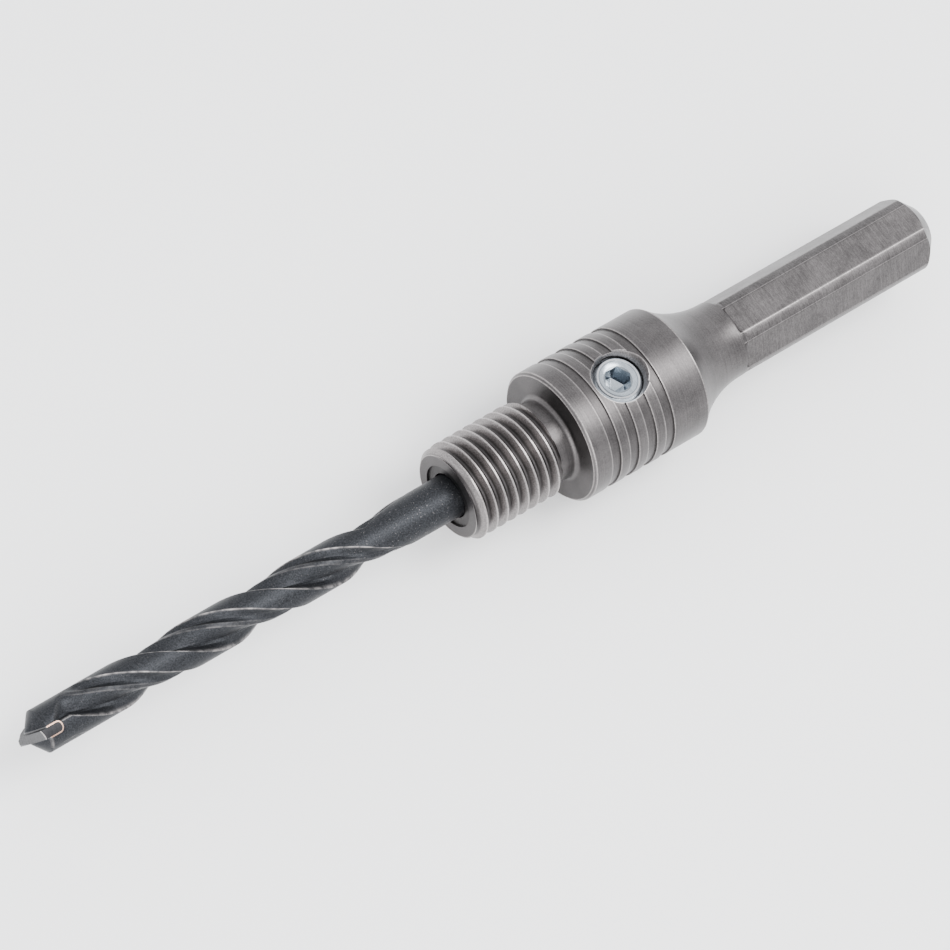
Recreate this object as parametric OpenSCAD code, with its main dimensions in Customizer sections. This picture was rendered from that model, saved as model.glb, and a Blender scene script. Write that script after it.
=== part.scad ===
// Core bit mandrel: a hex shank arbor that holds a carbide tipped pilot drill with a set screw.
// Millimetres. The turned axis is X. The origin is on that axis, in the plane of the shoulder that
// a core bit screws up against. The drill points along -X, the shank along +X, the set screw along +Z.

/* [Core bit spigot] */
// Outside diameter of the spigot's M16 thread
thread_d = 16; // [14:0.5:18]
// Length of the spigot from its front face to the shoulder
spigot_len = 20; // [16:0.5:30]
// Length of the undercut between the thread and the shoulder
neck_len = 3.0; // [2:0.1:4]
// Diameter of the undercut, just under the thread's root
neck_d = 13.5; // [12.5:0.1:13.8]
// Length of the slope from the undercut up to the thread
neck_slope = 0.6; // [0.3:0.1:1.4]
// Radius of the fillet between the undercut and the shoulder
neck_fillet = 0.8; // [0.3:0.1:1]
// Chamfer on the spigot's front edge
nose_chamfer = 1.0; // [0.5:0.1:1.4]
// Diameter of the shallow recess in the front face
recess_d = 10.5; // [8.8:0.1:11.5]
// Depth of the shallow recess in the front face
recess_depth = 0.35; // [0.2:0.05:0.6]

/* [Body] */
// Diameter of the grooved body
body_d = 22.2; // [20:0.2:26]
// Length of the body from the shoulder to its rear edge
body_len = 22.65; // [21.5:0.05:30]
// Chamfer on the shoulder's edge
shoulder_chamfer = 0.45; // [0.2:0.05:0.8]
// Number of grip grooves round the body
groove_count = 4; // [1:1:4]
// Distance from the shoulder to the middle of the first groove
groove_first = 4.35; // [3:0.05:5]
// Distance from one groove to the next
groove_pitch = 3.55; // [3:0.05:4]
// Width of a groove
groove_w = 1.65; // [1:0.05:2]
// Depth of a groove
groove_depth = 0.3; // [0.15:0.05:0.5]

/* [Shank] */
// Diameter of the round bar that the flats are milled on
shank_d = 13; // [12.6:0.1:13.4]
// Distance across the flats of the hex
hex_af = 12; // [11.6:0.1:12.2]
// Radius of the hollow flare between the body and the shank
flare_radius = 17; // [13:0.5:22]
// Round stretch of shank between the flare and the flats
round_len = 0.25; // [0.1:0.05:3]
// Length of the milled flats, up to the end of the shank
flat_len = 40.85; // [25:0.05:60]
// Chamfer on the end of the shank
end_chamfer = 2.65; // [1:0.05:3.5]

/* [Drill bore] */
// Diameter of the bore that the pilot drill slides in
bore_d = 7.6; // [7.4:0.1:8.2]
// Depth of the bore behind the shoulder
bore_depth = 21; // [20.8:0.1:24]

/* [Set screw] */
// Thread diameter of the set screw
screw_d = 8; // [6:0.5:8]
// Length of the set screw
screw_len = 6; // [5.6:0.1:6.8]
// Distance from the shoulder to the middle of the set screw
screw_x = 10.65; // [8:0.05:14]
// Clearance of the screw in its hole, on the radius
screw_gap = 0.05; // [0.02:0.01:0.1]
// Gap between the screw's point and the drill
point_gap = 0.05; // [0.02:0.01:0.15]
// Chamfer at the top of the screw
screw_top_chamfer = 0.65; // [0.3:0.05:0.8]
// Chamfer at the point of the screw
screw_point_chamfer = 1.2; // [0.6:0.1:1.4]
// Distance across the flats of the hex socket
socket_af = 4; // [3:0.5:4.5]
// Depth of the hex socket
socket_depth = 4.2; // [3:0.1:4.4]
// Turn of the hex socket from a corner pointing along the shank
socket_turn = -2; // [-30:1:30]
// Depth of the countersink round the screw hole, from the top of the body
sink_depth = 1.7; // [1:0.1:2.2]
// Angle of the countersink's wall from the hole's axis
sink_angle = 27; // [15:1:40]

/* [Pilot drill] */
// Diameter of the drill
drill_d = 7.1; // [6.5:0.1:7.3]
// Length of the steel drill with its carbide tip
drill_len = 120; // [100:1:150]
// How far the drill reaches into the arbor behind the shoulder
drill_seat = 20.4; // [19:0.1:20.6]
// Length of one turn of the flutes
flute_lead = 40.2; // [30:0.1:60]
// Distance from the tip to where a flute starts, at the cutting edge of its land
flute_start = 4.8; // [4.5:0.1:6.5]
// How much later it starts at the heel of the other land
flute_start_lag = 6.5; // [0:0.5:9]
// Length over which the flutes reach their full depth
flute_ramp = 3; // [2:0.5:6]
// Length of the drill's head, in front of where the flutes start to turn
head_len = 7.9; // [6.5:0.1:9]
// Distance from the tip to the end of a flute, at the heel of a land
flute_end = 72.1; // [50:0.1:75]
// How much sooner it ends at the cutting edge of the other land
flute_end_lead = 8.5; // [0:0.5:16]
// Length over which the flutes run out
flute_runout = 2.5; // [1.5:0.5:8]
// Half angle of the drill's steel point
point_angle = 50; // [45:1:60]

/* [Carbide tip] */
// Thickness of the carbide plate
plate_t = 1.5; // [1.2:0.1:2.2]
// Length of the carbide plate, from its point to its root
plate_len = 5.9; // [5:0.1:7]
// Drop of a cutting edge from the point to the outer corner
plate_drop = 2.8; // [2:0.1:3.2]
// Relief angle of the ground face behind a cutting edge
relief_angle = 9; // [4:1:16]
// Angle of the heel face that is ground off behind it, close to the point
heel_angle = 47; // [35:1:60]
// How far the carbide's point stands in front of the steel point
plate_lead = 0.7; // [0.3:0.1:1.2]
// Thickness of the braze round the plate
braze_t = 0.2; // [0.1:0.05:0.3]
// Turn of the plate round the drill's axis, from +Y
plate_turn = 119; // [0:1:180]

/* [Hidden] */
$fn = 96;
eps = 0.01;

body_r = body_d / 2;
shank_r = shank_d / 2;
thread_r = thread_d / 2;
neck_r = neck_d / 2;
bore_r = bore_d / 2;

// The flare is an arc that ends on the shank without a step and meets the body at its rear edge
flare_len = sqrt(pow(flare_radius, 2) - pow(flare_radius - (body_r - shank_r), 2));
flare_end = body_len + flare_len;
flat_start = flare_end + round_len;
shank_end = flat_start + flat_len;

// The screw's point sits just off the drill's round shank, and its top follows from its length
drill_r = drill_d / 2;
screw_r = screw_d / 2;
screw_point_z = drill_r + point_gap;
screw_top_z = screw_point_z + screw_len;
hole_r = screw_r + screw_gap;
sink_floor_z = body_r - sink_depth;
sink_top_z = body_r + 1;
sink_top_r = hole_r + (sink_top_z - sink_floor_z) * tan(sink_angle);
socket_r = socket_af / sqrt(3);
socket_lead = 0.35;
socket_lead_depth = 0.2;

// Half angle of the bore's conical bottom, as a twist drill leaves it
bore_point_angle = 59;

// The drill's tip and its straight head, where the flutes don't turn yet
tip_x = drill_seat - drill_len;
steel_point_x = tip_x + plate_lead;
flute_start_x = tip_x + flute_start;
twist_start_x = tip_x + head_len;
flute_end_x = tip_x + flute_end;

// The plate lies close behind the lands' cutting edges, and the lands are ground a touch under the shank
plate_on_land = 130.5;
head_turn = plate_turn - plate_on_land;
land_relief = 0.02;
land_r = drill_r - land_relief;
rear_chamfer = 0.6;
plate_root_x = tip_x + plate_len;
plate_r = drill_r;
plate_fall = atan(plate_drop / plate_r);
heel_fall = 27;
heel_lead = 0.35;
root_round = 0.4 * plate_t;
seam_round = root_round + braze_t;

// Half of the flute section: angle from the heel of a land, and radius as a share of the drill's.
// A narrow second flute lies before the rib, from 37 to 50 degrees, and the wide main flute behind the rib
// ends at the cutting edge of the next land.
cutting_edge = 121;
flute_section = [
    [0, 1], [5, 0.88], [12, 0.77], [20, 0.73], [29, 0.77], [37, 0.845], [50, 0.83], [57, 0.76], [66, 0.67],
    [78, 0.58], [92, 0.52], [104, 0.50], [113, 0.60], [cutting_edge, 1], [133, 1], [145, 1], [157, 1], [169, 1]
];
half_section = len(flute_section);
ring_step = 0.85;

steel_color = [0.53, 0.52, 0.52];
oxide_color = [0.27, 0.29, 0.31];
zinc_color = [0.80, 0.84, 0.88];
carbide_color = [0.55, 0.56, 0.57];
braze_color = [0.80, 0.62, 0.52];

// Turns a section about the X axis. The section's first coordinate is the radius, its second is X.
module turned() {
    rotate([0, 90, 0]) rotate_extrude() children();
}

// A bar along X, from one place to another
module bar(x0, x1, r0, r1) {
    translate([x0, 0, 0]) rotate([0, 90, 0]) cylinder(h = x1 - x0, r1 = r0, r2 = r1);
}

// Ease from 0 to 1 with no kink at either end
function ease(t) = let (c = min(1, max(0, t))) c * c * (3 - 2 * c);

// Outside of the arbor's spigot and body, as turned
module spigot_and_body_section() {
    polygon([
        [0, -spigot_len], [thread_r - nose_chamfer, -spigot_len], [thread_r, nose_chamfer - spigot_len],
        [thread_r, -neck_len - neck_slope], [neck_r, -neck_len], [neck_r, 0],
        [body_r - shoulder_chamfer, 0], [body_r, shoulder_chamfer], [body_r, body_len], [0, body_len]
    ]);
    difference() {
        translate([neck_r - eps, -neck_fillet]) square([neck_fillet + eps, neck_fillet + eps]);
        translate([neck_r + neck_fillet, -neck_fillet]) circle(r = neck_fillet);
    }
}

// The flare: a block of the body's radius, less the round that the turning tool leaves
module flare_section() {
    difference() {
        translate([0, body_len - eps]) square([body_r, flare_len + eps]);
        translate([shank_r + flare_radius, flare_end]) circle(r = flare_radius, $fn = 360);
    }
}

// The shank up to its end chamfer
module shank_section() {
    polygon([
        [0, flare_end - eps], [shank_r, flare_end - eps], [shank_r, shank_end - end_chamfer],
        [shank_r - end_chamfer, shank_end], [0, shank_end]
    ]);
}

module groove_section(i) {
    translate([body_r - groove_depth, groove_first + i * groove_pitch - groove_w / 2])
        square([groove_depth + 1, groove_w]);
}

// What the mill takes off the shank for one flat
module flat_cutter(turn) {
    rotate([turn, 0, 0])
        translate([flat_start, -shank_r, hex_af / 2])
            cube([flat_len + 1, shank_d, shank_r]);
}

// The drill's bore, its conical bottom and the shallow recess in the front face
module bore_cutter() {
    bar(-spigot_len - 1, bore_depth, bore_r, bore_r);
    bar(bore_depth - eps, bore_depth + bore_r / tan(bore_point_angle), bore_r, 0);
    bar(-spigot_len - 1, recess_depth - spigot_len, recess_d / 2, recess_d / 2);
}

// The screw's tapped hole and the countersink that opens it to the body's surface
module screw_hole_cutter() {
    translate([screw_x, 0, 0]) {
        cylinder(h = sink_floor_z + eps, r = hole_r);
        translate([0, 0, sink_floor_z])
            cylinder(h = sink_top_z - sink_floor_z, r1 = hole_r, r2 = sink_top_r);
    }
}

module arbor() {
    color(steel_color)
    difference() {
        turned() {
            difference() {
                union() {
                    spigot_and_body_section();
                    flare_section();
                    shank_section();
                }
                for (i = [0:groove_count - 1]) groove_section(i);
            }
        }
        for (turn = [0:60:300]) flat_cutter(turn);
        bore_cutter();
        screw_hole_cutter();
    }
}

// Turn of the flute section at x: straight in the head, then a right hand helix
function section_turn(x) = head_turn + 360 / flute_lead * max(0, x - twist_start_x);

// How deep a flute is at x and at an angle of its section, from 0 to 1. A flute opens first at the cutting
// edge and last at the heel, and it runs out in the same order.
function flute_depth(x, a) = let (
    across = min(1, a / cutting_edge),
    start = flute_start_x + flute_start_lag * (1 - across),
    end = flute_end_x - flute_end_lead * across
) ease((x - start) / flute_ramp) * ease((end - x) / flute_runout);

function flute_ring(x) = let (turn = section_turn(x)) [
    for (half = [0, 180], p = flute_section)
        let (r = land_r * (1 - flute_depth(x, p[0]) * (1 - p[1])), a = turn + half + p[0])
            [x, r * cos(a), r * sin(a)]
];

// The fluted stretch: rings of the section, joined into one closed skin
module fluted_rod(x0, x1) {
    count = ceil((x1 - x0) / ring_step);
    n = 2 * half_section;
    points = [for (i = [0:count]) each flute_ring(x0 + (x1 - x0) * i / count)];
    sides = [
        for (i = [0:count - 1], k = [0:n - 1])
            let (a = i * n + k, b = i * n + (k + 1) % n)
                each [[a, b + n, b], [a, a + n, b + n]]
    ];
    front = [for (k = [0:n - 1]) k];
    back = [for (k = [n - 1:-1:0]) count * n + k];
    polyhedron(points = points, faces = concat(sides, [front, back]), convexity = 8);
}

// Section of the plate or of its slot, seen along the plate's width: its root has rounded corners
module plate_section(extra, root_x, round_r) {
    half = plate_t / 2 + extra;
    translate([tip_x - 1, -half]) square([root_x - tip_x + 1 - round_r, 2 * half]);
    for (side = [-1, 1])
        translate([root_x - round_r, side * (half - round_r)]) circle(r = round_r);
    translate([root_x - round_r, round_r - half]) square([round_r, 2 * (half - round_r)]);
}

// A plate along X that reaches right across the drill, turned to the tip's angle
module plate_blank(extra, root_x, round_r) {
    rotate([plate_turn, 0, 0])
        rotate([90, 0, 0])
            translate([0, 0, -drill_d])
                linear_extrude(height = 2 * drill_d) plate_section(extra, root_x, round_r);
}

module pilot_drill() {
    color(oxide_color)
    difference() {
        union() {
            intersection() {
                fluted_rod(tip_x - 1, flute_end_x + 1);
                turned() polygon([
                    [0, steel_point_x], [drill_d, steel_point_x + drill_d / tan(point_angle)],
                    [drill_d, flute_end_x + 2], [0, flute_end_x + 2]
                ]);
            }
            bar(flute_end_x, drill_seat - rear_chamfer, drill_r, drill_r);
            bar(drill_seat - rear_chamfer, drill_seat, drill_r, drill_r - rear_chamfer);
        }
        plate_blank(braze_t, plate_root_x + braze_t, seam_round);
    }
}

// What the grinding wheel takes off one half of the plate. The wheel's face meets the axis at x. It falls
// away toward the outside of the drill, and back from the cutting edge by its relief.
module ground_off(x, fall, relief) {
    size = 3 * drill_d;
    translate([x, 0, 0])
        rotate([0, relief, -fall])
            translate([-size, -size / 2, -size / 2]) cube(size);
}

// The carbide plate with its four-facet point: on each half a relief face and, behind it, a heel face
module carbide_tip() {
    color(carbide_color)
    difference() {
        intersection() {
            plate_blank(0, plate_root_x, root_round);
            bar(tip_x - 1, plate_root_x + 1, plate_r, plate_r);
        }
        for (half = [0, 180])
            rotate([plate_turn + half, 0, 0]) {
                ground_off(tip_x, plate_fall, relief_angle);
                ground_off(tip_x - heel_lead, heel_fall, heel_angle);
            }
    }
}

// The braze fills the slot round the plate, flush with the drill's skin
module braze_seam() {
    color(braze_color)
    intersection() {
        difference() {
            plate_blank(braze_t, plate_root_x + braze_t, seam_round);
            plate_blank(0, plate_root_x, root_round);
        }
        turned() polygon([
            [0, steel_point_x], [land_r, steel_point_x + land_r / tan(point_angle)],
            [land_r, plate_root_x + 1], [0, plate_root_x + 1]
        ]);
    }
}

module set_screw() {
    point_r = screw_r - screw_point_chamfer;
    top_r = screw_r - screw_top_chamfer;
    color(zinc_color)
    translate([screw_x, 0, 0])
        difference() {
            rotate_extrude() polygon([
                [0, screw_point_z], [point_r, screw_point_z],
                [screw_r, screw_point_z + screw_point_chamfer], [screw_r, screw_top_z - screw_top_chamfer],
                [top_r, screw_top_z], [0, screw_top_z]
            ]);
            translate([0, 0, screw_top_z - socket_depth])
                rotate([0, 0, socket_turn]) cylinder(h = socket_depth + 1, r = socket_r, $fn = 6);
            translate([0, 0, screw_top_z - socket_lead_depth])
                cylinder(h = 2 * socket_lead_depth, r1 = socket_r - socket_lead, r2 = socket_r + socket_lead);
        }
}

arbor();
pilot_drill();
carbide_tip();
braze_seam();
set_screw();
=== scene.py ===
# %% [markdown]
# # A core bit mandrel
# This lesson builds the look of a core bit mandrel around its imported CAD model. The real object is a
# steel arbor with a hex shank, a grooved body and a threaded spigot. A masonry drill stands in its bore,
# and a set screw clamps the drill. The axis of the arbor is X, the drill points along -X, and the set
# screw looks up along +Z. All sizes in the lesson are in millimetres, and each finished mesh is brought
# to metres at the very end of its making.

import math

import bmesh
import bpy
import numpy as np
from mathutils import Matrix, Vector


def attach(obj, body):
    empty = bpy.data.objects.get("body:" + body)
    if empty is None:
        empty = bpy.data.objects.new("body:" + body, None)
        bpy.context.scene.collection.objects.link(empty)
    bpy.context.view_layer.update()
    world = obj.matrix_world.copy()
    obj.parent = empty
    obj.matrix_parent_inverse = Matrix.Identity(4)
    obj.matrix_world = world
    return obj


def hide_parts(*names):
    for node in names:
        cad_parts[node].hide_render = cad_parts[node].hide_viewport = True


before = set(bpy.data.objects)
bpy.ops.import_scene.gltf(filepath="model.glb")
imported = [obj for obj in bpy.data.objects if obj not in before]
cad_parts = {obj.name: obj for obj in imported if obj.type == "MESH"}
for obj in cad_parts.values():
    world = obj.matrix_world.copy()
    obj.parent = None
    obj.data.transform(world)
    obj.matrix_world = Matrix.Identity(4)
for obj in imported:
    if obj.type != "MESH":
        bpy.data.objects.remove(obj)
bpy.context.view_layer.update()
MM = 0.001
print("nodes of the packed model:", sorted(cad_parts))

# %% [markdown]
# ## Camera
# The photograph looks down at the drill's side of the arbor with a long lens, and the camera is rolled so
# that the arbor runs uphill to the right. Three turns describe it: how far the axis swings away from the
# picture plane, how far the picture tilts about the axis, and the roll in the picture. A camera matrix is
# simply its right, up and backward directions side by side, so they are worked out as vectors.

# %% Put the camera where the photographer stood
swing, tilt, roll = math.radians(25.45), math.radians(15.9), math.radians(29.887)
FOCAL_PIXELS, PHOTO_PIXELS, SENSOR = 5200, 950, 36
CAMERA_DISTANCE = 800
AIM_ON_AXIS = Vector((-1.18, 0, 0))
AIM_RIGHT, AIM_UP = 10.604, 5.192

axis = Vector((1, 0, 0))
towards = Vector((0, -math.sin(tilt), math.cos(tilt)))
across = Vector((0, math.cos(tilt), math.sin(tilt)))
along = axis * math.cos(swing) + towards * math.sin(swing)
back = -axis * math.sin(swing) + towards * math.cos(swing)
right = along * math.cos(roll) - across * math.sin(roll)
up = along * math.sin(roll) + across * math.cos(roll)
eye = AIM_ON_AXIS - right * AIM_RIGHT - up * AIM_UP + back * CAMERA_DISTANCE

camera_data = bpy.data.cameras.new("photo_camera")
camera_data.sensor_width = SENSOR
camera_data.lens = SENSOR * FOCAL_PIXELS / PHOTO_PIXELS
camera_data.clip_start, camera_data.clip_end = 0.01, 20
camera = bpy.data.objects.new("photo_camera", camera_data)
camera.matrix_world = Matrix((right, up, back)).transposed().to_4x4()
camera.location = eye * MM
bpy.context.scene.collection.objects.link(camera)
bpy.context.scene.camera = camera
print("camera at", [round(c, 3) for c in camera.location], "lens", round(camera_data.lens, 1))

# %% [markdown]
# ## Helpers for meshes
# A turned part is a stack of rings. Each ring has the same number of stations round the axis, so two
# neighbouring rings can always be joined by four-sided faces. A ring may bend out of its plane or out of
# round, and that is enough for flats, chamfers and sockets too.

# %% Rings and skins
STATIONS = 144
ANGLES = np.arange(STATIONS) * 2 * np.pi / STATIONS


def ring(x, r):
    """One ring of points: x and r are numbers, or one value for each station."""
    x, r = np.broadcast_to(x, STATIONS), np.broadcast_to(r, STATIONS)
    return np.stack([x, r * np.cos(ANGLES), r * np.sin(ANGLES)], 1)


def skin(rings):
    """Joins rings into a tube and returns its points and faces."""
    points = np.concatenate(rings)
    start = np.arange(len(rings) - 1)[:, None] * STATIONS
    here, there = np.arange(STATIONS), (np.arange(STATIONS) + 1) % STATIONS
    faces = np.stack([start + here, start + there, start + STATIONS + there, start + STATIONS + here], 2)
    return points, faces.reshape(-1, 4)


def rounded(corners):
    """Points along a profile. Each corner is (x, radius) or (x, radius, fillet)."""
    out = []
    for i, corner in enumerate(corners):
        here = np.array(corner[:2], float)
        fillet = corner[2] if len(corner) > 2 else 0
        if not fillet:
            out.append(tuple(here))
            continue
        before = np.array(corners[i - 1][:2]) - here
        after = np.array(corners[i + 1][:2]) - here
        before, after = before / np.linalg.norm(before), after / np.linalg.norm(after)
        half = math.acos(np.clip(before @ after, -1, 1)) / 2
        centre = here + (before + after) / np.linalg.norm(before + after) * fillet / math.sin(half)
        start = here + before * fillet / math.tan(half) - centre
        end = here + after * fillet / math.tan(half) - centre
        steps = 5
        turn = math.pi - 2 * half
        for k in range(steps + 1):
            a = turn * k / steps
            out.append(tuple(centre + (start * math.sin(turn - a) + end * math.sin(a)) / math.sin(turn)))
    return out


print("stations round each ring:", STATIONS)

# %% [markdown]
# A finished piece is one closed mesh. Its loose parts are put together, points that coincide are merged,
# the normals are turned outwards, and only edges sharper than a given angle stay sharp.

# %% Finish a piece
def weld(name, parts, sharp_deg=32, merge=2e-4):
    """One clean mesh object, still in millimetres, from (points, faces) parts."""
    points = np.concatenate([np.asarray(p, float) for p, _ in parts])
    faces, start = [], 0
    for part_points, part_faces in parts:
        faces += [[int(i) + start for i in face] for face in part_faces]
        start += len(part_points)
    mesh = bpy.data.meshes.new(name)
    mesh.from_pydata(points.tolist(), [], faces)
    tidy = bmesh.new()
    tidy.from_mesh(mesh)
    bmesh.ops.remove_doubles(tidy, verts=tidy.verts, dist=merge)
    bmesh.ops.dissolve_degenerate(tidy, edges=tidy.edges, dist=1e-5)
    bmesh.ops.recalc_face_normals(tidy, faces=tidy.faces)
    open_edges = sum(1 for e in tidy.edges if not e.is_manifold)
    tidy.to_mesh(mesh)
    tidy.free()
    mesh.shade_smooth()
    mesh.set_sharp_from_angle(angle=math.radians(sharp_deg))
    piece = bpy.data.objects.new(name, mesh)
    bpy.context.scene.collection.objects.link(piece)
    print(f"{name}: {len(mesh.polygons)} faces, {open_edges} open edges")
    return piece


def bake(piece, name):
    """The piece as its modifiers leave it, as a plain mesh object. The piece itself goes."""
    evaluated = piece.evaluated_get(bpy.context.evaluated_depsgraph_get())
    mesh = bpy.data.meshes.new_from_object(evaluated)
    mesh.name = name
    bpy.data.objects.remove(piece)
    baked = bpy.data.objects.new(name, mesh)
    bpy.context.scene.collection.objects.link(baked)
    return baked


def as_part(piece):
    """Takes a baked object apart into (points, faces), and removes it."""
    mesh = piece.data
    points = np.array([v.co for v in mesh.vertices])
    faces = [list(p.vertices) for p in mesh.polygons]
    bpy.data.objects.remove(piece)
    return points, faces


def ship(piece, body, node, finish):
    """Brings a finished piece to metres, gives it its finish and hands it to its CAD body."""
    piece.data.transform(Matrix.Scale(MM, 4))
    piece.data.materials.clear()
    piece.data.materials.append(finish)
    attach(piece, body)
    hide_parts(node)


# %% [markdown]
# ## Helpers for node trees
# Geometry and shader trees are both boxes joined by wires. One helper adds a box, sets its fields and
# plugs its inputs, so that a tree reads like a recipe from top to bottom.

# %% Add a node and its wires
def add(tree, kind, inputs=(), out=0, **fields):
    """Adds one node. inputs maps a socket's name or number to a value or to another node's output."""
    node = tree.nodes.new(kind)
    for field, value in fields.items():
        setattr(node, field, value)
    pairs = inputs.items() if isinstance(inputs, dict) else enumerate(inputs)
    for key, value in pairs:
        if isinstance(value, bpy.types.NodeSocket):
            tree.links.new(value, node.inputs[key])
        elif value is not None:
            node.inputs[key].default_value = value
    return node.outputs[out]


def sums(tree, operation, *values):
    """A Math node, with its operation named in capitals."""
    return add(tree, "ShaderNodeMath", values, operation=operation)


def sized_tree(name, sizes):
    """A new Geometry Nodes tree with one named input for each size. Returns the tree and its inputs."""
    tree = bpy.data.node_groups.new(name, "GeometryNodeTree")
    kinds = {float: "NodeSocketFloat", int: "NodeSocketInt"}
    for label, value in sizes.items():
        socket = tree.interface.new_socket(name=label, in_out="INPUT", socket_type=kinds[type(value)])
        socket.default_value = value
    tree.interface.new_socket(name="Finish", in_out="INPUT", socket_type="NodeSocketMaterial")
    tree.interface.new_socket(name="Geometry", in_out="OUTPUT", socket_type="NodeSocketGeometry")
    group_input = tree.nodes.new("NodeGroupInput")
    return tree, {socket.name: socket for socket in group_input.outputs if socket.name}


def close_tree(tree, geometry, finish):
    """The end of every tree: copies become real, and the finish is set."""
    geometry = add(tree, "GeometryNodeRealizeInstances", [geometry])
    geometry = add(tree, "GeometryNodeSetMaterial", {"Geometry": geometry, "Material": finish})
    group_output = tree.nodes.new("NodeGroupOutput")
    tree.links.new(geometry, group_output.inputs[0])


def run_tree(name, tree, sizes, finish):
    """Puts the tree on an empty mesh, sets its inputs by their identifiers and bakes what it makes."""
    holder = bpy.data.objects.new(name, bpy.data.meshes.new(name))
    bpy.context.scene.collection.objects.link(holder)
    modifier = holder.modifiers.new(tree.name, "NODES")
    modifier.node_group = tree
    named = {item.name: item.identifier for item in tree.interface.items_tree if item.in_out == "INPUT"}
    for label, value in sizes.items():
        modifier[named[label]] = value
    modifier[named["Finish"]] = finish
    return bake(holder, name)


print("helpers for meshes and trees are ready")

# %% [markdown]
# ## Sizes of the arbor
# These come first, because both the arbor's mesh and its finish use them.

# %% Sizes in millimetres
GROOVES, GROOVE_FIRST, GROOVE_PITCH, GROOVE_WIDTH, GROOVE_FLOOR = 4, 4.35, 3.55, 1.65, 10.8
BODY_R, BODY_END, SHANK_R, FLARE_R, FLARE_END = 11.1, 22.65, 6.5, 17.0, 34.279
HEX_AF, FLAT_START, SHANK_END, END_CHAMFER, CUTTER_R = 12.0, 34.529, 75.379, 2.65, 0.7
SCREW_X, HOLE_R, SINK_FLOOR, SINK_DEG = 10.65, 4.05, 9.4, 27.0
PLATE_R = max(math.hypot(v.co.y, v.co.z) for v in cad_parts["carbide_tip"].data.vertices) / MM
SCREW_POINT, SCREW_TOP, SOCKET_AF, SOCKET_DEPTH, SOCKET_TURN = 3.6, 9.6, 4.0, 4.2, -2.0
print("arbor behind its shoulder:", SHANK_END, "and the plate's radius:", round(PLATE_R, 3))

# %% [markdown]
# ## Finishes
# Every finish is procedural and reads Object coordinates, so a pattern stays on its piece. A machined
# surface shows fine lines left by the tool. They run round a turned face and straight across a milled
# one, and on this arbor both change only along X, so one stretched noise makes them both.

# %% The start of every finish
def new_finish(name, base, metallic, roughness):
    """A material with its shader's fixed values set, its tree, its shader and its Object coordinates."""
    finish = bpy.data.materials.new(name)
    finish.use_nodes = True
    tree = finish.node_tree
    shader = tree.nodes["Principled BSDF"]
    shader.inputs["Base Color"].default_value = (*base, 1)
    shader.inputs["Metallic"].default_value = metallic
    shader.inputs["Roughness"].default_value = roughness
    place = add(tree, "ShaderNodeTexCoord", out="Object")
    return finish, tree, shader, place


def noise(tree, place, scale, detail=2.0, roughness=0.5):
    """Noise over Object coordinates. scale is grains per millimetre along X, Y and Z."""
    per_metre = [s / MM for s in scale]
    stretched = add(tree, "ShaderNodeMapping", {"Vector": place, "Scale": per_metre})
    return add(tree, "ShaderNodeTexNoise",
               {"Vector": stretched, "Scale": 1.0, "Detail": detail, "Roughness": roughness})


def remap(tree, value, low, high, to_low, to_high):
    return add(tree, "ShaderNodeMapRange", [value, low, high, to_low, to_high])


def tint(tree, share, colour_low, colour_high):
    """A colour between two, by a share from 0 to 1."""
    return add(tree, "ShaderNodeMix", {"Factor": share, "A": (*colour_low, 1), "B": (*colour_high, 1)},
               out="Result", data_type="RGBA")


def bump(tree, height, strength, distance_mm, over=None):
    inputs = {"Height": height, "Strength": strength, "Distance": distance_mm * MM}
    if over is not None:
        inputs["Normal"] = over
    return add(tree, "ShaderNodeBump", inputs)


# %% Machined steel
def blend(tree, share, first, second):
    """A colour between two colours or outputs, by a share from 0 to 1."""
    return add(tree, "ShaderNodeMix", {"Factor": share, "A": first, "B": second}, out="Result", data_type="RGBA")


def machined_steel(name, dark, light, roughness, line_scale, line_depth, marks=None):
    """marks(tree, place) may add three shares from 0 to 1: painted highlights on edges, painted shade in nooks and
    milled faces.
    """
    finish, tree, shader, place = new_finish(name, light, 1.0, roughness)
    lines = noise(tree, place, (line_scale, 0.10, 0.10), detail=4)
    clouds = noise(tree, place, (0.16, 0.22, 0.22), detail=5, roughness=0.65)
    grain = noise(tree, place, (5, 5, 5), detail=4, roughness=0.7)
    shade = sums(tree, "MULTIPLY_ADD", lines, 0.22, sums(tree, "MULTIPLY", clouds, 0.36))
    shade = sums(tree, "MULTIPLY_ADD", grain, 0.42, shade)
    colour = tint(tree, remap(tree, shade, 0.40, 0.60, 0, 1), dark, light)
    height = lines
    if marks:
        painted_highlight, painted_shade, milled = marks(tree, place)
        mill = noise(tree, place, (5.0, 1.4, 1.4), detail=3, roughness=0.7)
        dim = remap(tree, mill, 0.36, 0.62, 0.84, 1.20)
        crossed = add(tree, "ShaderNodeVectorMath", {0: colour, "Scale": dim}, operation="SCALE")
        colour = blend(tree, milled, colour, crossed)
        height = add(tree, "ShaderNodeMix", {"Factor": milled, "A": lines, "B": sums(tree, "MULTIPLY", mill, 2.2)})
        # Painted highlight: where marks give a highlight share, the colour goes towards a pale steel grey, broken up by
        # the grain.
        wear_and_highlight = sums(tree, "MULTIPLY", painted_highlight, remap(tree, grain, 0.35, 0.6, 0.3, 1))
        # Painted shade: where marks give a shade share, the colour drops to a third of the dark tone.
        colour = blend(tree, painted_shade, colour, (*[c * 0.3 for c in dark], 1))
        colour = blend(tree, wear_and_highlight, colour, (0.45, 0.42, 0.412, 1))
    tree.links.new(colour, shader.inputs["Base Color"])
    rough = remap(tree, clouds, 0.3, 0.7, roughness - 0.06, roughness + 0.06)
    tree.links.new(rough, shader.inputs["Roughness"])
    relief = bump(tree, height, 0.4, line_depth)
    relief = bump(tree, grain, 0.3, 0.010, over=relief)
    tree.links.new(relief, shader.inputs["Normal"])
    return finish
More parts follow.
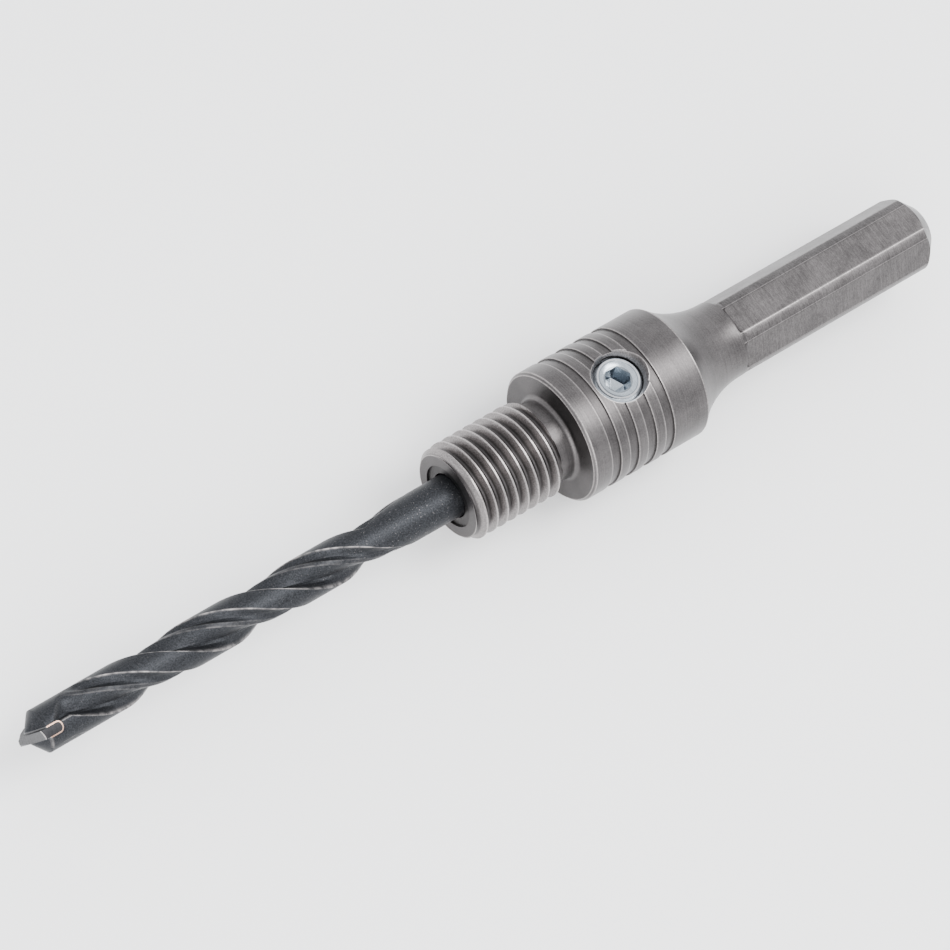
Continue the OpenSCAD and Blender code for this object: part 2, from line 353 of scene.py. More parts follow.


# %% [markdown]
# The finish paints highlights along the edges and paints shade into the nooks. Both follow the part's own
# geometry, so the finish works them out from the same sizes: how far a point is from a groove's edge, from
# the rim of the screw hole, from an edge of the hex or from the crest of the thread.

# %% Painted highlights on edges and painted shade in nooks of the arbor
def near(tree, value, target, reach):
    """1 where value is at the target, falling to 0 at the given reach from it."""
    off = sums(tree, "ABSOLUTE", sums(tree, "SUBTRACT", value, target))
    return add(tree, "ShaderNodeMapRange", {"Value": off, "From Min": 0.0, "From Max": reach, "To Min": 1.0,
                                            "To Max": 0.0})


def within(tree, value, low, high):
    return sums(tree, "MULTIPLY", sums(tree, "GREATER_THAN", value, low), sums(tree, "LESS_THAN", value, high))


def arbor_marks(tree, place):
    split = add(tree, "ShaderNodeSeparateXYZ", [place])
    x, y, z = (sums(tree, "DIVIDE", socket, MM) for socket in split.node.outputs)
    r = sums(tree, "SQRT", sums(tree, "MULTIPLY_ADD", y, y, sums(tree, "MULTIPLY", z, z)))
    on_thread = sums(tree, "LESS_THAN", x, -3.4)
    # Painted highlight on the thread: lighter on the outer flanks and most on the crests.
    crest = sums(tree, "MAXIMUM", remap(tree, r, 7.0, 7.3, 0, 0.42), remap(tree, r, 7.88, 7.96, 0, 0.75))
    crest = sums(tree, "MULTIPLY", on_thread, crest)
    # Painted shadow in the roots of the thread.
    root = sums(tree, "MULTIPLY", sums(tree, "MULTIPLY", on_thread, sums(tree, "GREATER_THAN", x, -19.9)),
                remap(tree, r, 6.80, 7.05, 0.65, 0))
    on_body = within(tree, x, 2.6, 16.9)
    from_first = sums(tree, "DIVIDE", sums(tree, "SUBTRACT", x, GROOVE_FIRST), GROOVE_PITCH)
    nearest = sums(tree, "ROUND", from_first)
    off_middle = sums(tree, "MULTIPLY", sums(tree, "SUBTRACT", from_first, nearest), GROOVE_PITCH)
    off_middle = sums(tree, "ABSOLUTE", off_middle)
    # Painted highlight along the edges of each groove.
    lip = sums(tree, "MULTIPLY", near(tree, off_middle, GROOVE_WIDTH / 2 + 0.08, 0.2),
               remap(tree, r, BODY_R - 0.12, BODY_R - 0.03, 0, 0.5))
    # Painted shade at the foot of each groove's wall.
    foot = sums(tree, "MULTIPLY", near(tree, off_middle, GROOVE_WIDTH / 2 - 0.06, 0.22),
                remap(tree, r, GROOVE_FLOOR + 0.05, GROOVE_FLOOR + 0.2, 0.6, 0))
    # Painted shade over the groove floors.
    floor_tone = sums(tree, "MULTIPLY", sums(tree, "LESS_THAN", off_middle, GROOVE_WIDTH / 2),
                      remap(tree, r, GROOVE_FLOOR + 0.05, GROOVE_FLOOR + 0.2, 0.25, 0))
    from_screw = sums(tree, "SUBTRACT", x, SCREW_X)
    out = sums(tree, "SQRT", sums(tree, "MULTIPLY_ADD", from_screw, from_screw, sums(tree, "MULTIPLY", y, y)))
    sink = sums(tree, "MULTIPLY_ADD", sums(tree, "SUBTRACT", z, SINK_FLOOR), math.tan(math.radians(SINK_DEG)), HOLE_R)
    # Painted highlight round the rim of the screw hole and inside its countersink.
    mouth = sums(tree, "MULTIPLY", near(tree, out, sink, 0.14), within(tree, r, BODY_R - 0.35, BODY_R + 1))
    in_sink = sums(tree, "MULTIPLY", near(tree, out, sink, 0.1), sums(tree, "GREATER_THAN", z, SINK_FLOOR))
    outside = sums(tree, "SUBTRACT", on_body, sums(tree, "MULTIPLY", on_body, sums(tree, "LESS_THAN", out, sums(
        tree, "ADD", sink, 0.05))))
    foot = sums(tree, "MULTIPLY", sums(tree, "MAXIMUM", foot, floor_tone), outside)
    lip = sums(tree, "MULTIPLY", lip, outside)
    # Painted highlights on the rim at the body's end, on the shoulder's edges and on the spigot's front chamfer.
    rims = [near(tree, x, BODY_END - 0.08, 0.14), near(tree, x, 0.42, 0.14),
            sums(tree, "MULTIPLY", near(tree, r, 10.65, 0.12), within(tree, x, -0.1, 0.2)),
            sums(tree, "MULTIPLY", near(tree, r, 7.0, 0.14), sums(tree, "LESS_THAN", x, -19.8))]
    angle = sums(tree, "DIVIDE", sums(tree, "ARCTAN2", z, y), math.radians(60))
    off_flat = sums(tree, "SUBTRACT", sums(tree, "FRACT", angle), 0.5)
    aside = sums(tree, "MULTIPLY", r, sums(tree, "SINE", sums(tree, "MULTIPLY", off_flat, math.radians(60))))
    aside = sums(tree, "ABSOLUTE", aside)
    on_shank = sums(tree, "GREATER_THAN", x, FLAT_START)
    # Painted highlight along the edges of the hex.
    hex_edge = sums(tree, "MULTIPLY", on_shank, near(tree, aside, 2.5, 0.09))
    past = sums(tree, "MAXIMUM", 0, sums(tree, "SUBTRACT", aside, 2.5 - CUTTER_R))
    bend = sums(tree, "SQRT", sums(tree, "MAXIMUM", 0, sums(tree, "SUBTRACT", CUTTER_R ** 2,
                                                            sums(tree, "MULTIPLY", past, past))))
    start = sums(tree, "SUBTRACT", FLAT_START + CUTTER_R, bend)
    # Painted shadow just behind the start of each milled flat.
    step = sums(tree, "MULTIPLY", near(tree, sums(tree, "SUBTRACT", x, start), 0.14, 0.30),
                sums(tree, "LESS_THAN", aside, 2.52))
    across_flat = sums(tree, "MULTIPLY", r, sums(tree, "COSINE", sums(tree, "MULTIPLY", off_flat, math.radians(60))))
    milled = sums(tree, "MULTIPLY", on_shank, sums(tree, "LESS_THAN", across_flat, HEX_AF / 2 + 0.03))
    painted_highlight = crest
    for more in [lip, sums(tree, "MULTIPLY", mouth, 0.9), sums(tree, "MULTIPLY", in_sink, 0.5),
                 sums(tree, "MULTIPLY", hex_edge, 0.45)] + [
            sums(tree, "MULTIPLY", rim, 0.7) for rim in rims]:
        painted_highlight = sums(tree, "MAXIMUM", painted_highlight, more)
    painted_shade = sums(tree, "MAXIMUM", root, sums(tree, "MAXIMUM", foot, step))
    # Painted shade on the round strips between the flats.
    strip = sums(tree, "MULTIPLY", within(tree, x, FLAT_START, SHANK_END - 0.3), sums(tree, "SUBTRACT", 1, milled))
    painted_shade = sums(tree, "MAXIMUM", painted_shade, sums(tree, "MULTIPLY", strip, 0.5))
    return painted_highlight, painted_shade, milled


def screw_marks(tree, place):
    split = add(tree, "ShaderNodeSeparateXYZ", [place])
    x, y, z = (sums(tree, "DIVIDE", socket, MM) for socket in split.node.outputs)
    x = sums(tree, "SUBTRACT", x, SCREW_X)
    r = sums(tree, "SQRT", sums(tree, "MULTIPLY_ADD", x, x, sums(tree, "MULTIPLY", y, y)))
    in_socket = sums(tree, "LESS_THAN", r, 2.33)
    walls = sums(tree, "MULTIPLY", in_socket, within(tree, z, SCREW_TOP - SOCKET_DEPTH + 0.05, SCREW_TOP - 0.34))
    # Painted shade in a ring just below the mouth of the socket.
    seat = sums(tree, "MULTIPLY", near(tree, z, SCREW_TOP - 0.3, 0.12), in_socket)
    # Painted shadow in the small step inside the rim of the top.
    step = sums(tree, "MULTIPLY", near(tree, r, 3.07, 0.1), sums(tree, "GREATER_THAN", z, SCREW_TOP - 0.2))
    painted_shade = sums(tree, "MAXIMUM", sums(tree, "MULTIPLY", walls, 0.0), sums(tree, "MULTIPLY", seat, 0.7))
    painted_shade = sums(tree, "MAXIMUM", painted_shade, sums(tree, "MULTIPLY", step, 0.7))
    # Painted highlight on the rim of the top.
    rim = sums(tree, "MULTIPLY", near(tree, r, 3.3, 0.16), sums(tree, "GREATER_THAN", z, SCREW_TOP - 0.2))
    return rim, painted_shade, sums(tree, "MULTIPLY", rim, 0)


def tip_marks(tree, place):
    split = add(tree, "ShaderNodeSeparateXYZ", [place])
    y, z = (sums(tree, "DIVIDE", socket, MM) for socket in split.node.outputs[1:])
    r = sums(tree, "SQRT", sums(tree, "MULTIPLY_ADD", y, y, sums(tree, "MULTIPLY", z, z)))
    # Painted highlight along the plate's outer edge.
    rim = remap(tree, r, PLATE_R - 0.20, PLATE_R - 0.08, 0, 1)
    return rim, sums(tree, "MULTIPLY", rim, 0), sums(tree, "MULTIPLY", rim, 0)


arbor_steel = machined_steel("arbor_steel", (0.056, 0.0525, 0.0525), (0.108, 0.101, 0.101), 0.36, 5, 0.006, arbor_marks)
zinc_plate = machined_steel("zinc_plate", (0.26, 0.29, 0.32), (0.40, 0.44, 0.48), 0.22, 3, 0.002, screw_marks)
carbide = machined_steel("carbide", (0.085, 0.085, 0.087), (0.125, 0.125, 0.128), 0.42, 6, 0.006, tip_marks)
sintered_carbide = machined_steel("sintered_carbide", (0.026, 0.026, 0.028), (0.042, 0.042, 0.044), 0.55, 2, 0.004)
copper_braze = machined_steel("copper_braze", (0.42, 0.25, 0.18), (0.60, 0.42, 0.33), 0.40, 1.5, 0.02)
print("metal finishes:", [m.name for m in bpy.data.materials])

# %% [markdown]
# Black oxide is a thin dark skin on the steel. It is worn off along the edges of the flutes, and there the
# bright steel shows. The drill's tree stores how close each point is to such an edge, and the finish
# reads that attribute, so the wear follows the helix.

# %% Black oxide with worn edges
def black_oxide_finish():
    finish, tree, shader, place = new_finish("black_oxide", (0.09, 0.098, 0.108), 1.0, 0.36)
    speckle = noise(tree, place, (4.5, 4.5, 4.5), detail=5, roughness=0.65)
    patches = noise(tree, place, (0.9, 0.9, 0.9), detail=4)
    oxide = tint(tree, remap(tree, speckle, 0.40, 0.66, 0, 1), (0.019, 0.020, 0.022), (0.043, 0.045, 0.050))
    edge = add(tree, "ShaderNodeAttribute", out="Fac", attribute_name="edge_wear")
    rubbed = sums(tree, "MULTIPLY", edge, remap(tree, patches, 0.38, 0.62, 0.2, 1))
    x = sums(tree, "DIVIDE", add(tree, "ShaderNodeSeparateXYZ", [place], out="X"), MM)
    dots = remap(tree, noise(tree, place, (4.2, 4.2, 4.2), detail=2), 0.65, 0.74, 0, 1)
    dots = sums(tree, "MULTIPLY", dots, remap(tree, x, -60, -24, 0.10, 0.40))
    rubbed = sums(tree, "MAXIMUM", rubbed, dots)
    colour = blend(tree, rubbed, oxide, (0.36, 0.34, 0.335, 1))
    tree.links.new(colour, shader.inputs["Base Color"])
    tree.links.new(remap(tree, speckle, 0.3, 0.7, 0.42, 0.56), shader.inputs["Roughness"])
    tree.links.new(bump(tree, speckle, 0.3, 0.008), shader.inputs["Normal"])
    return finish


black_oxide = black_oxide_finish()
print("oxide finish:", black_oxide.name)

# %% [markdown]
# ## The thread
# A screw thread is one groove wound round a rod. If a flat grid is rolled into a tube, its rows would cut
# across the crests and leave them ragged. So the rows are sheared by one pitch per turn: each row then
# follows the helix, and every crest and root lies exactly on a row. The ends are trimmed by clamping x,
# and a chamfer there simply limits the radius.

# %% A node tree for any metric thread
THREAD_SIZES = {
    "Front": -20.0, "Back": -3.0, "Crest radius": 8.0, "Root radius": 6.77, "Pitch": 2.0, "Start": 0.0,
    "Front radius": 7.0, "Front chamfer": 1.0, "Back radius": 6.75, "Back chamfer": 0.6,
    "Rows per turn": 16, "Stations": STATIONS,
}
# Height of the thread over one pitch: a narrow crest, straight flanks and a round root
THREAD_FORM = [(0, 1), (0.0625, 1), (0.345, 0.11), (0.42, 0.02), (0.5, 0), (0.58, 0.02), (0.655, 0.11),
               (0.9375, 1), (1, 1)]


def curve_of(tree, value, points, handle="VECTOR"):
    """A Float Curve node through the given points."""
    node = tree.nodes.new("ShaderNodeFloatCurve")
    curve = node.mapping.curves[0]
    while len(curve.points) < len(points):
        curve.points.new(0.5, 0.5)
    for knot, (x, y) in zip(curve.points, points):
        knot.location = (x, y)
        knot.handle_type = handle
    node.mapping.update()
    tree.links.new(value, node.inputs["Value"])
    return node.outputs[0]


def rolled_grid(tree, rows, stations):
    """A grid to be rolled into a tube: its geometry, the row number and the share of a turn."""
    columns = sums(tree, "ADD", stations, 1)
    grid = add(tree, "GeometryNodeMeshGrid", {"Vertices X": sums(tree, "ADD", rows, 1), "Vertices Y": columns})
    index = add(tree, "GeometryNodeInputIndex")
    row = sums(tree, "FLOOR", sums(tree, "DIVIDE", sums(tree, "ADD", index, 0.5), columns))
    column = sums(tree, "SUBTRACT", index, sums(tree, "MULTIPLY", row, columns))
    return grid, row, sums(tree, "DIVIDE", column, stations)


def roll(tree, grid, x, radius, turn):
    """Moves each grid point to x along the axis and to a radius and a turn round it."""
    angle = sums(tree, "MULTIPLY", turn, 2 * math.pi)
    y = sums(tree, "MULTIPLY", radius, sums(tree, "COSINE", angle))
    z = sums(tree, "MULTIPLY", radius, sums(tree, "SINE", angle))
    place = add(tree, "ShaderNodeCombineXYZ", [x, y, z])
    tube = add(tree, "GeometryNodeSetPosition", {"Geometry": grid, "Position": place})
    return add(tree, "GeometryNodeMergeByDistance", {"Geometry": tube, "Distance": 0.0002})


def thread_tree():
    tree, size = sized_tree("metric_thread", THREAD_SIZES)
    length = sums(tree, "SUBTRACT", size["Back"], size["Front"])
    turns = sums(tree, "ADD", sums(tree, "CEIL", sums(tree, "DIVIDE", length, size["Pitch"])), 2)
    rows = sums(tree, "MULTIPLY", turns, size["Rows per turn"])
    grid, row, turn = rolled_grid(tree, rows, size["Stations"])
    helix = sums(tree, "DIVIDE", row, size["Rows per turn"])
    wound = sums(tree, "SUBTRACT", sums(tree, "ADD", helix, turn), sums(tree, "ADD", size["Start"], 1))
    raw = sums(tree, "MULTIPLY_ADD", wound, size["Pitch"], size["Front"])
    x = sums(tree, "MAXIMUM", size["Front"], sums(tree, "MINIMUM", size["Back"], raw))
    form = curve_of(tree, sums(tree, "FRACT", helix), THREAD_FORM)
    depth = sums(tree, "SUBTRACT", size["Crest radius"], size["Root radius"])
    threaded = sums(tree, "MULTIPLY_ADD", form, depth, size["Root radius"])
    front = add(tree, "ShaderNodeMapRange", {
        "Value": sums(tree, "SUBTRACT", x, size["Front"]), "From Min": 0.0, "From Max": size["Front chamfer"],
        "To Min": size["Front radius"], "To Max": size["Crest radius"]})
    rear = add(tree, "ShaderNodeMapRange", {
        "Value": sums(tree, "SUBTRACT", size["Back"], x), "From Min": 0.0, "From Max": size["Back chamfer"],
        "To Min": size["Back radius"], "To Max": size["Crest radius"]})
    radius = sums(tree, "MINIMUM", threaded, sums(tree, "MINIMUM", front, rear))
    before = sums(tree, "LESS_THAN", raw, sums(tree, "ADD", size["Front"], 0.0001))
    after = sums(tree, "GREATER_THAN", raw, sums(tree, "SUBTRACT", size["Back"], 0.0001))
    radius = add(tree, "ShaderNodeMix", {"Factor": before, "A": radius, "B": size["Front radius"]})
    radius = add(tree, "ShaderNodeMix", {"Factor": after, "A": radius, "B": size["Back radius"]})
    close_tree(tree, roll(tree, grid, x, radius, turn), size["Finish"])
    return tree


metric_thread = thread_tree()
print("tree:", metric_thread.name, "with", len(metric_thread.nodes), "nodes")

# %% [markdown]
# ## The arbor
# The arbor is turned from one bar, so its skin is one profile spun about X: bore, front face, thread,
# undercut, shoulder, grooved body, flare and shank. The hex is then milled on the shank. In rings this is
# easy: on the flats the radius is limited by the distance to the flat, and at the end chamfer each
# station starts its slope where the cone meets the hex, which draws the curved edges of a real hex bar.

# %% Profile of bore and front face
SPIGOT_FRONT, NECK_FRONT, THREAD_START = -20.0, -3.0, -17.478
bore_corners = [(23.283, 0), (21, 3.8), (-19.65, 3.8), (-19.65, 5.25), (-20, 5.25), (-20, 7.0)]
bore_rings = [ring(x, r) for x, r in bore_corners]
thread_sizes = dict(THREAD_SIZES, Start=(SPIGOT_FRONT - THREAD_START) / 2.0 % 1.0)
arbor_thread = as_part(run_tree("arbor_thread", metric_thread, thread_sizes, arbor_steel))
print("thread points:", len(arbor_thread[0]))

# %% Profile of undercut, body and flare
corners = [(NECK_FRONT, 6.75), (0, 6.75, 0.8), (0, 10.65, 0.06), (0.45, BODY_R, 0.12)]
for i in range(GROOVES):
    middle = GROOVE_FIRST + i * GROOVE_PITCH
    left, right_side = middle - GROOVE_WIDTH / 2, middle + GROOVE_WIDTH / 2
    corners += [(left, BODY_R, 0.07), (left, GROOVE_FLOOR, 0.07)]
    corners += [(right_side, GROOVE_FLOOR, 0.07), (right_side, BODY_R, 0.07)]
corners += [(16.8, BODY_R), (19.5, BODY_R), (BODY_END, BODY_R, 0.18)]
flare_start = math.acos((FLARE_R - (BODY_R - SHANK_R)) / FLARE_R)
for k in range(1, 19):
    a = flare_start * (1 - k / 18)
    corners.append((FLARE_END - FLARE_R * math.sin(a), SHANK_R + FLARE_R * (1 - math.cos(a))))
body_rings = [ring(x, r) for x, r in rounded(corners)]
print("body rings:", len(body_rings))

# %% Hex shank
off_flat = (np.degrees(ANGLES) - 90 + 30) % 60 - 30
hex_r = np.minimum(SHANK_R, HEX_AF / 2 / np.cos(np.radians(off_flat)))
side = np.minimum(HEX_AF / 2 * np.abs(np.tan(np.radians(off_flat))), 2.5)
corner = np.clip(side - (2.5 - CUTTER_R), 0, CUTTER_R)
flat_start = FLAT_START + CUTTER_R - np.sqrt(CUTTER_R ** 2 - corner ** 2)
chamfer_start = SHANK_END + SHANK_R - END_CHAMFER - hex_r
shank_rings = [ring(flat_start - 0.06, SHANK_R), ring(flat_start, SHANK_R - 0.03)]
shank_rings += [ring(flat_start + 0.05, hex_r), ring(flat_start + 0.5, hex_r)]
shank_rings += [ring(x, hex_r) for x in np.arange(36.5, 72.5, 1.5)]
shank_rings += [ring(chamfer_start - 0.05, hex_r), ring(chamfer_start + 0.05, hex_r - 0.09)]
shank_rings += [ring(SHANK_END - 0.1, SHANK_R - END_CHAMFER + 0.1), ring(SHANK_END, SHANK_R - END_CHAMFER - 0.1)]
shank_rings += [ring(SHANK_END, 0)]
print("shank rings:", len(shank_rings))

# %% [markdown]
# The screw hole runs across the spun form, so it can't be part of the rings. It is cut with a Boolean: a
# cylinder for the tapped hole, and above it the cone of the countersink.

# %% Put the arbor together and cut the screw hole
def stand(points):
    """Turns points made along X so that they stand along Z, at the set screw's place."""
    x, y, z = np.asarray(points).T
    return np.stack([SCREW_X - z, y, x], 1)


def cut_with(piece, cutter):
    """The piece less the cutter, as a plain mesh with the piece's name."""
    name = piece.name
    boolean = piece.modifiers.new("cut", "BOOLEAN")
    boolean.operation, boolean.solver, boolean.object = "DIFFERENCE", "EXACT", cutter
    piece.name = name + "_uncut"
    done = bake(piece, name)
    bpy.data.objects.remove(cutter)
    return done


arbor = weld("arbor_piece", [skin(bore_rings), arbor_thread, skin(body_rings), skin([body_rings[-1]] + shank_rings)])
sink_top = 13.0
sink_r = HOLE_R + (sink_top - SINK_FLOOR) * math.tan(math.radians(SINK_DEG))
hole_points, hole_faces = skin([ring(0, 0), ring(0, HOLE_R), ring(SINK_FLOOR, HOLE_R), ring(sink_top, sink_r),
                                ring(sink_top, 0)])
hole = weld("screw_hole", [(stand(hole_points), hole_faces)])
arbor = cut_with(arbor, hole)
arbor.data.set_sharp_from_angle(angle=math.radians(32))
print("arbor after the cut:", len(arbor.data.polygons), "faces")
ship(arbor, "arbor", "arbor", arbor_steel)

# %% [markdown]
# ## The set screw
# An M8 set screw has a thread all along, a chamfer at each end, a cupped point and a hex socket. The
# thread comes from the same tree with other sizes. The top is slightly dished inside a narrow rim. The dish
# meets the six walls of the socket in low arches, so the ring where they meet is bent: its height follows
# the hex.

# %% Make the set screw
screw_sizes = {
    "Front": SCREW_POINT, "Back": SCREW_TOP, "Crest radius": 4.0, "Root radius": 3.23, "Pitch": 1.25,
    "Start": 0.3, "Front radius": 2.8, "Front chamfer": 1.2, "Back radius": 3.45, "Back chamfer": 0.55,
    "Rows per turn": 16, "Stations": STATIONS,
}
screw_thread = as_part(run_tree("screw_thread", metric_thread, screw_sizes, zinc_plate))
off_wall = (np.degrees(ANGLES) + 30) % 60 - 30
socket_r = SOCKET_AF / 2 / np.cos(np.radians(off_wall))
dish_r, dish_z = 2.34, SCREW_TOP - 0.25
mouth_z = dish_z - (dish_r - socket_r) * 0.3
socket_floor = SCREW_TOP - SOCKET_DEPTH
point_rings = [ring(SCREW_POINT + 1.0, 0), ring(SCREW_POINT, 2.1), ring(SCREW_POINT, 2.8)]
top_rings = [ring(SCREW_TOP, 3.45), ring(SCREW_TOP, 3.12), ring(SCREW_TOP - 0.07, 3.05), ring(dish_z, dish_r)]
top_rings += [ring(mouth_z, socket_r), ring(socket_floor, socket_r), ring(socket_floor - 0.9, 0)]
parts = [skin(point_rings), screw_thread, skin(top_rings)]
turned_by = math.radians(SOCKET_TURN)
turn_about_axis = np.array([[1, 0, 0], [0, math.cos(turned_by), -math.sin(turned_by)],
                            [0, math.sin(turned_by), math.cos(turned_by)]])
parts = [(stand(np.asarray(p) @ turn_about_axis.T), f) for p, f in parts]
set_screw = weld("set_screw_piece", parts)
ship(set_screw, "set_screw", "set_screw", zinc_plate)

# %% [markdown]
# ## The pilot drill
# The drill's flutes are one section that turns as it moves along X. The section is half a turn long and
# repeats on the other side. A Float Curve holds it: the share of the full radius against the angle. Its
# rows stay square to the axis and its columns follow the helix, so the edge of each land stays crisp.
# The flutes fade in behind the head and run out before the shank.

# %% The fluted rod's tree
ROD_SIZES = {
    "Front": -98.9, "Row": 0.329, "Rows": 221, "Stations": 240, "Land radius": 3.53,
    "Point slope": math.tan(math.radians(50)), "Lead": 40.2, "Twist start": -91.7, "Turn": -11.5 / 360,
    "Flute start": -95.0, "Start lag": 6.5, "Ramp": 3.6, "Flute end": -27.5, "End lead": 8.5, "Run out": 2.5,
}
CUTTING_EDGE = 121
FLUTE_FORM = [(0, 1), (5, 0.88), (12, 0.77), (20, 0.73), (29, 0.77), (37, 0.845), (50, 0.83), (57, 0.76),
              (66, 0.67), (78, 0.58), (92, 0.52), (104, 0.50), (113, 0.60), (CUTTING_EDGE, 1), (180, 1)]
WEAR_FORM = [(0, 1), (1.5, 0.3), (3, 0), (34, 0), (37, 0.15), (40, 0.05), (47, 0.05), (50, 0.25), (53, 0),
             (118, 0), (CUTTING_EDGE, 1), (122.5, 0.3), (124, 0), (177, 0), (178.5, 0.4), (180, 1)]


def ground_in(tree, size, distance, ramp):
    """How deep the grinding wheel stands: at once a crisp edge, then slowly down to the full depth."""
    share = add(tree, "ShaderNodeMapRange", {"Value": distance, "From Max": size[ramp]})
    return sums(tree, "MULTIPLY", share, sums(tree, "SUBTRACT", 2, share))


def rod_tree():
    tree, size = sized_tree("fluted_rod", ROD_SIZES)
    grid, row, own_turn = rolled_grid(tree, size["Rows"], size["Stations"])
    x = sums(tree, "MULTIPLY_ADD", row, size["Row"], size["Front"])
    half_turn = sums(tree, "FRACT", sums(tree, "MULTIPLY", own_turn, 2))
    share = curve_of(tree, half_turn, [(a / 180, s) for a, s in FLUTE_FORM])
    across = sums(tree, "MINIMUM", 1, sums(tree, "MULTIPLY", half_turn, 180 / CUTTING_EDGE))
    lag = sums(tree, "MULTIPLY", size["Start lag"], sums(tree, "SUBTRACT", 1, across))
    since_start = sums(tree, "SUBTRACT", x, sums(tree, "ADD", size["Flute start"], lag))
    lead = sums(tree, "MULTIPLY", size["End lead"], across)
    till_end = sums(tree, "SUBTRACT", sums(tree, "SUBTRACT", size["Flute end"], lead), x)
    starts, ends = (ground_in(tree, size, since_start, "Ramp"), ground_in(tree, size, till_end, "Run out"))
    depth = sums(tree, "MULTIPLY", starts, ends)
    cut = sums(tree, "MULTIPLY", depth, sums(tree, "SUBTRACT", 1, share))
    fluted = sums(tree, "MULTIPLY", size["Land radius"], sums(tree, "SUBTRACT", 1, cut))
    cone = sums(tree, "MULTIPLY", sums(tree, "SUBTRACT", x, size["Front"]), size["Point slope"])
    radius = sums(tree, "MINIMUM", fluted, cone)
    wound = sums(tree, "DIVIDE", sums(tree, "MAXIMUM", 0, sums(tree, "SUBTRACT", x, size["Twist start"])),
                 size["Lead"])
    turn = sums(tree, "ADD", sums(tree, "ADD", own_turn, size["Turn"]), wound)
    wear = sums(tree, "MULTIPLY", curve_of(tree, half_turn, [(a / 180, s) for a, s in WEAR_FORM]), depth)
    from_rim = sums(tree, "ABSOLUTE", sums(tree, "SUBTRACT", cone, size["Land radius"]))
    rim = add(tree, "ShaderNodeMapRange", {"Value": from_rim, "From Min": 0.0, "From Max": 0.25,
                                           "To Min": 0.4, "To Max": 0.0})
    from_start = sums(tree, "ABSOLUTE", sums(tree, "SUBTRACT", since_start, 0.25))
    start_edge = add(tree, "ShaderNodeMapRange", {"Value": from_start, "From Min": 0.0, "From Max": 0.3,
                                                  "To Min": 0.1, "To Max": 0.0})
    start_edge = sums(tree, "MULTIPLY", start_edge, sums(tree, "LESS_THAN", share, 0.99))
    rim = sums(tree, "MULTIPLY", rim, sums(tree, "GREATER_THAN", share, 0.995))
    wear = sums(tree, "MAXIMUM", wear, sums(tree, "MAXIMUM", rim, start_edge))
    wear_and_highlight = add(tree, "GeometryNodeStoreNamedAttribute", {"Geometry": grid, "Name": "edge_wear", "Value": wear})
    close_tree(tree, roll(tree, wear_and_highlight, x, radius, turn), size["Finish"])
    return tree


fluted_rod = rod_tree()
print("tree:", fluted_rod.name, "with", len(fluted_rod.nodes), "nodes")

# %% Make the drill
def extend(piece, rings):
    """Closes a tube's open rear end with more rings. Each ring is (x, radius share)."""
    shape = bmesh.new()
    shape.from_mesh(piece.data)
    edges = [e for e in shape.edges if e.is_boundary]
    for x, share in rings:
        grown = bmesh.ops.extrude_edge_only(shape, edges=edges)["geom"]
        for v in (g for g in grown if isinstance(g, bmesh.types.BMVert)):
            v.co = Vector((x, v.co.y * share, v.co.z * share))
        edges = [g for g in grown if isinstance(g, bmesh.types.BMEdge)]
    bmesh.ops.remove_doubles(shape, verts=shape.verts, dist=2e-4)
    bmesh.ops.recalc_face_normals(shape, faces=shape.faces)
    shape.to_mesh(piece.data)
    shape.free()


drill = run_tree("pilot_drill_piece", fluted_rod, ROD_SIZES, black_oxide)
extend(drill, [(-25.89, 3.55 / 3.53), (-15.0, 1), (0.0, 1), (19.8, 1), (20.4, 2.95 / 3.55), (20.4, 0)])
slot_half, slot_root, slot_round = 0.95, -93.5, 0.8
slot_x = [-101, slot_root - slot_round] + [slot_root - slot_round * (1 - math.sin(a)) for a in (0.4, 0.8, 1.2, 1.57)]
slot_v = [slot_half, slot_half] + [slot_half - slot_round * (1 - math.cos(a)) for a in (0.4, 0.8, 1.2, 1.57)]
outline = list(zip(slot_x, slot_v)) + [(x, -v) for x, v in zip(slot_x[::-1], slot_v[::-1])]
slot_points = [(x, w, v) for w in (-5, 5) for x, v in outline]
count = len(outline)
slot_faces = [[i, (i + 1) % count, count + (i + 1) % count, count + i] for i in range(count)]
slot_faces += [list(range(count)), list(range(2 * count - 1, count - 1, -1))]
plate_turn = Matrix.Rotation(math.radians(119), 3, "X")
slot = weld("tip_slot", [([tuple(plate_turn @ Vector(p)) for p in slot_points], slot_faces)])
drill = cut_with(drill, slot)
drill.data.shade_smooth()
drill.data.set_sharp_from_angle(angle=math.radians(30))
print("drill:", len(drill.data.polygons), "faces")
ship(drill, "pilot_drill", "pilot_drill", black_oxide)

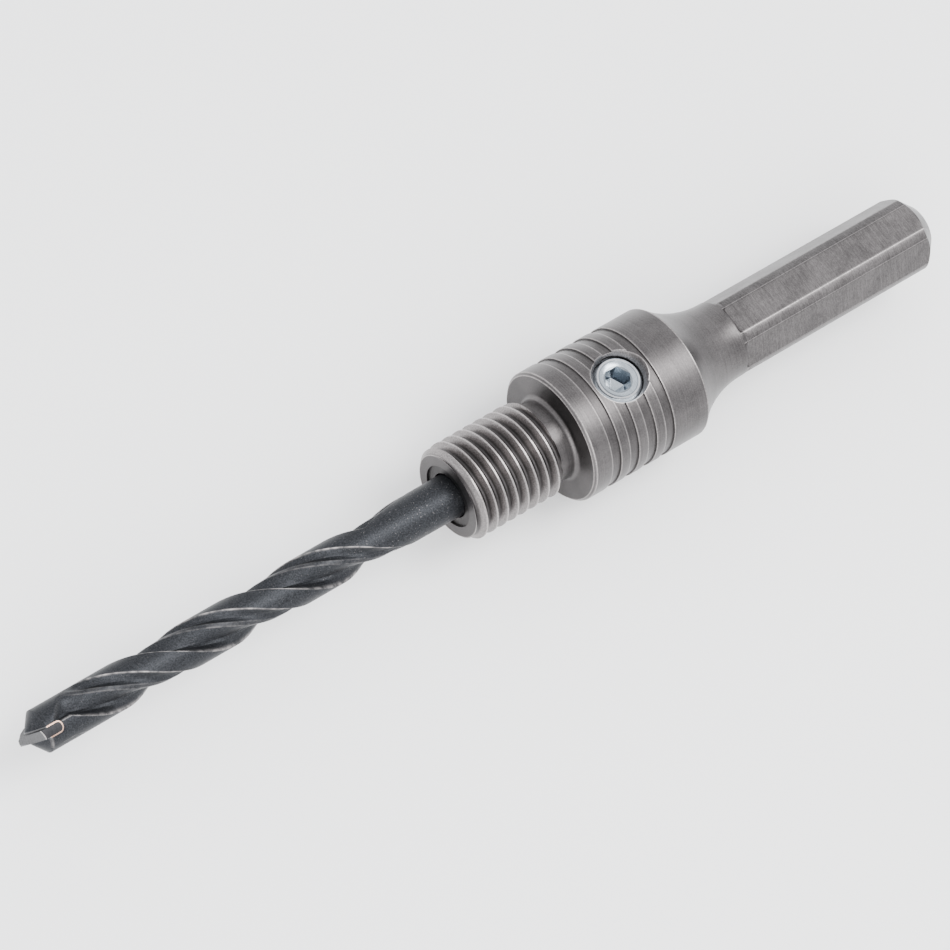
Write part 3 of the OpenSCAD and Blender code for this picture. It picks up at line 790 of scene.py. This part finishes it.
# %% [markdown]
# ## Carbide plate and braze
# The plate and its seam of copper are simple solids and are right as the CAD model has them, so only
# their finish changes. The faces that look forward were ground together with the drill's point, so on both
# pieces they are brighter carbide grey.

# %% Finish the CAD nodes that stay
for node_name, finishes in (("carbide_tip", (sintered_carbide, carbide)), ("braze_seam", (copper_braze, carbide))):
    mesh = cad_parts[node_name].data
    mesh.materials.clear()
    for finish in finishes:
        mesh.materials.append(finish)
    for face in mesh.polygons:
        face.material_index = 1 if face.normal.x < -0.3 else 0
    print(node_name, "is finished with", [finish.name for finish in finishes])

# %% [markdown]
# ## Floor and light
# The arbor lies on its body, so the floor touches the body's lowest line. Bare metal shows what stands
# round it, so the light is as much a part of the finish as the material: a pale floor, a pale room and
# broad soft lamps that draw one light band along the body.

# %% Floor
floor_finish, floor_tree, floor_shader, _ = new_finish("floor_paint", (0.92, 0.92, 0.92), 0.0, 0.9)
floor_z = -BODY_R
floor_mesh = bpy.data.meshes.new("floor")
reach = 3000
floor_mesh.from_pydata([(x * MM, y * MM, floor_z * MM) for x, y in
                        ((-reach, -reach), (reach, -reach), (reach, reach), (-reach, reach))], [], [(0, 1, 2, 3)])
floor_mesh.materials.append(floor_finish)
floor = bpy.data.objects.new("floor", floor_mesh)
bpy.context.scene.collection.objects.link(floor)

# %% Room and lamps
world = bpy.data.worlds.new("room")
world.use_nodes = True
world.node_tree.nodes["Background"].inputs["Color"].default_value = (0.97, 0.98, 1.0, 1)
world.node_tree.nodes["Background"].inputs["Strength"].default_value = 2.3
bpy.context.scene.world = world


def lamp(name, place, aim, size, power):
    """A square soft lamp. place and aim are in millimetres."""
    data = bpy.data.lights.new(name, "AREA")
    data.size, data.energy = size * MM, power
    light = bpy.data.objects.new(name, data)
    light.location = Vector(place) * MM
    light.rotation_euler = (Vector(aim) - Vector(place)).to_track_quat("-Z", "Y").to_euler()
    bpy.context.scene.collection.objects.link(light)
    return light


lamp("overhead", (430, -230, 880), (0, 0, 0), 520, 10)
lamp("front_fill", (-500, -700, 500), (0, 0, 0), 900, 11)

# %% Update the scene
bpy.context.view_layer.update()
